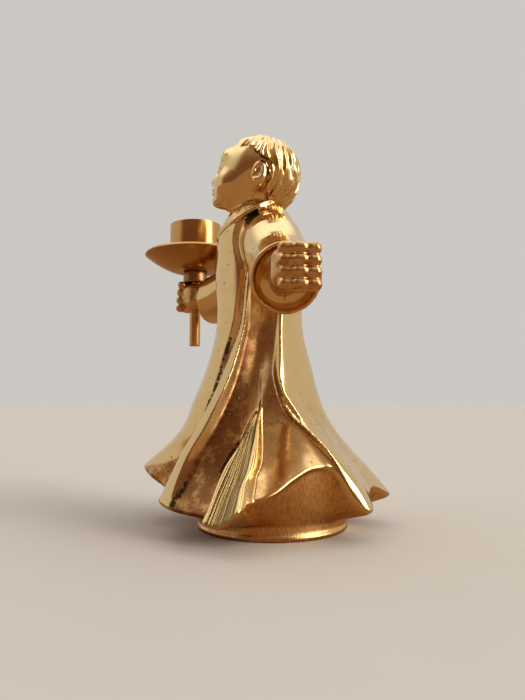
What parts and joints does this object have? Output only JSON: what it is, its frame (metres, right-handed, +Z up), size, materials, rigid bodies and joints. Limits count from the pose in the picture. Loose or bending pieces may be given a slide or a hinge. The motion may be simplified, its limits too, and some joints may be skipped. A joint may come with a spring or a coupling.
{
  "type": "brass figurine candle holder",
  "caption": "Cast brass figure of a child in a long flared robe, holding a candle cup with a drip tray on a rod.",
  "frame": {"origin": "centre of the round foot's underside, on the table", "axes": "+Z up; the child faces -Y, its empty left fist reaches out to +X, and the candle cup stands in front on the -X side"},
  "size_m": [0.077, 0.0629, 0.0921],
  "materials": {
    "cast_brass": "polished cast brass, lightly tarnished, dark residue in the creases, file marks under the hem",
    "turned_brass": "turned and polished brass with fine turning marks",
    "spun_brass": "spun sheet brass, tarnished a little browner underneath"
  },
  "bodies": {
    "root": {"figure": "cast_brass", "candle_cup": "turned_brass", "drip_tray": "spun_brass", "collar": "turned_brass", "stem": "turned_brass"}
  },
  "joints": []
}
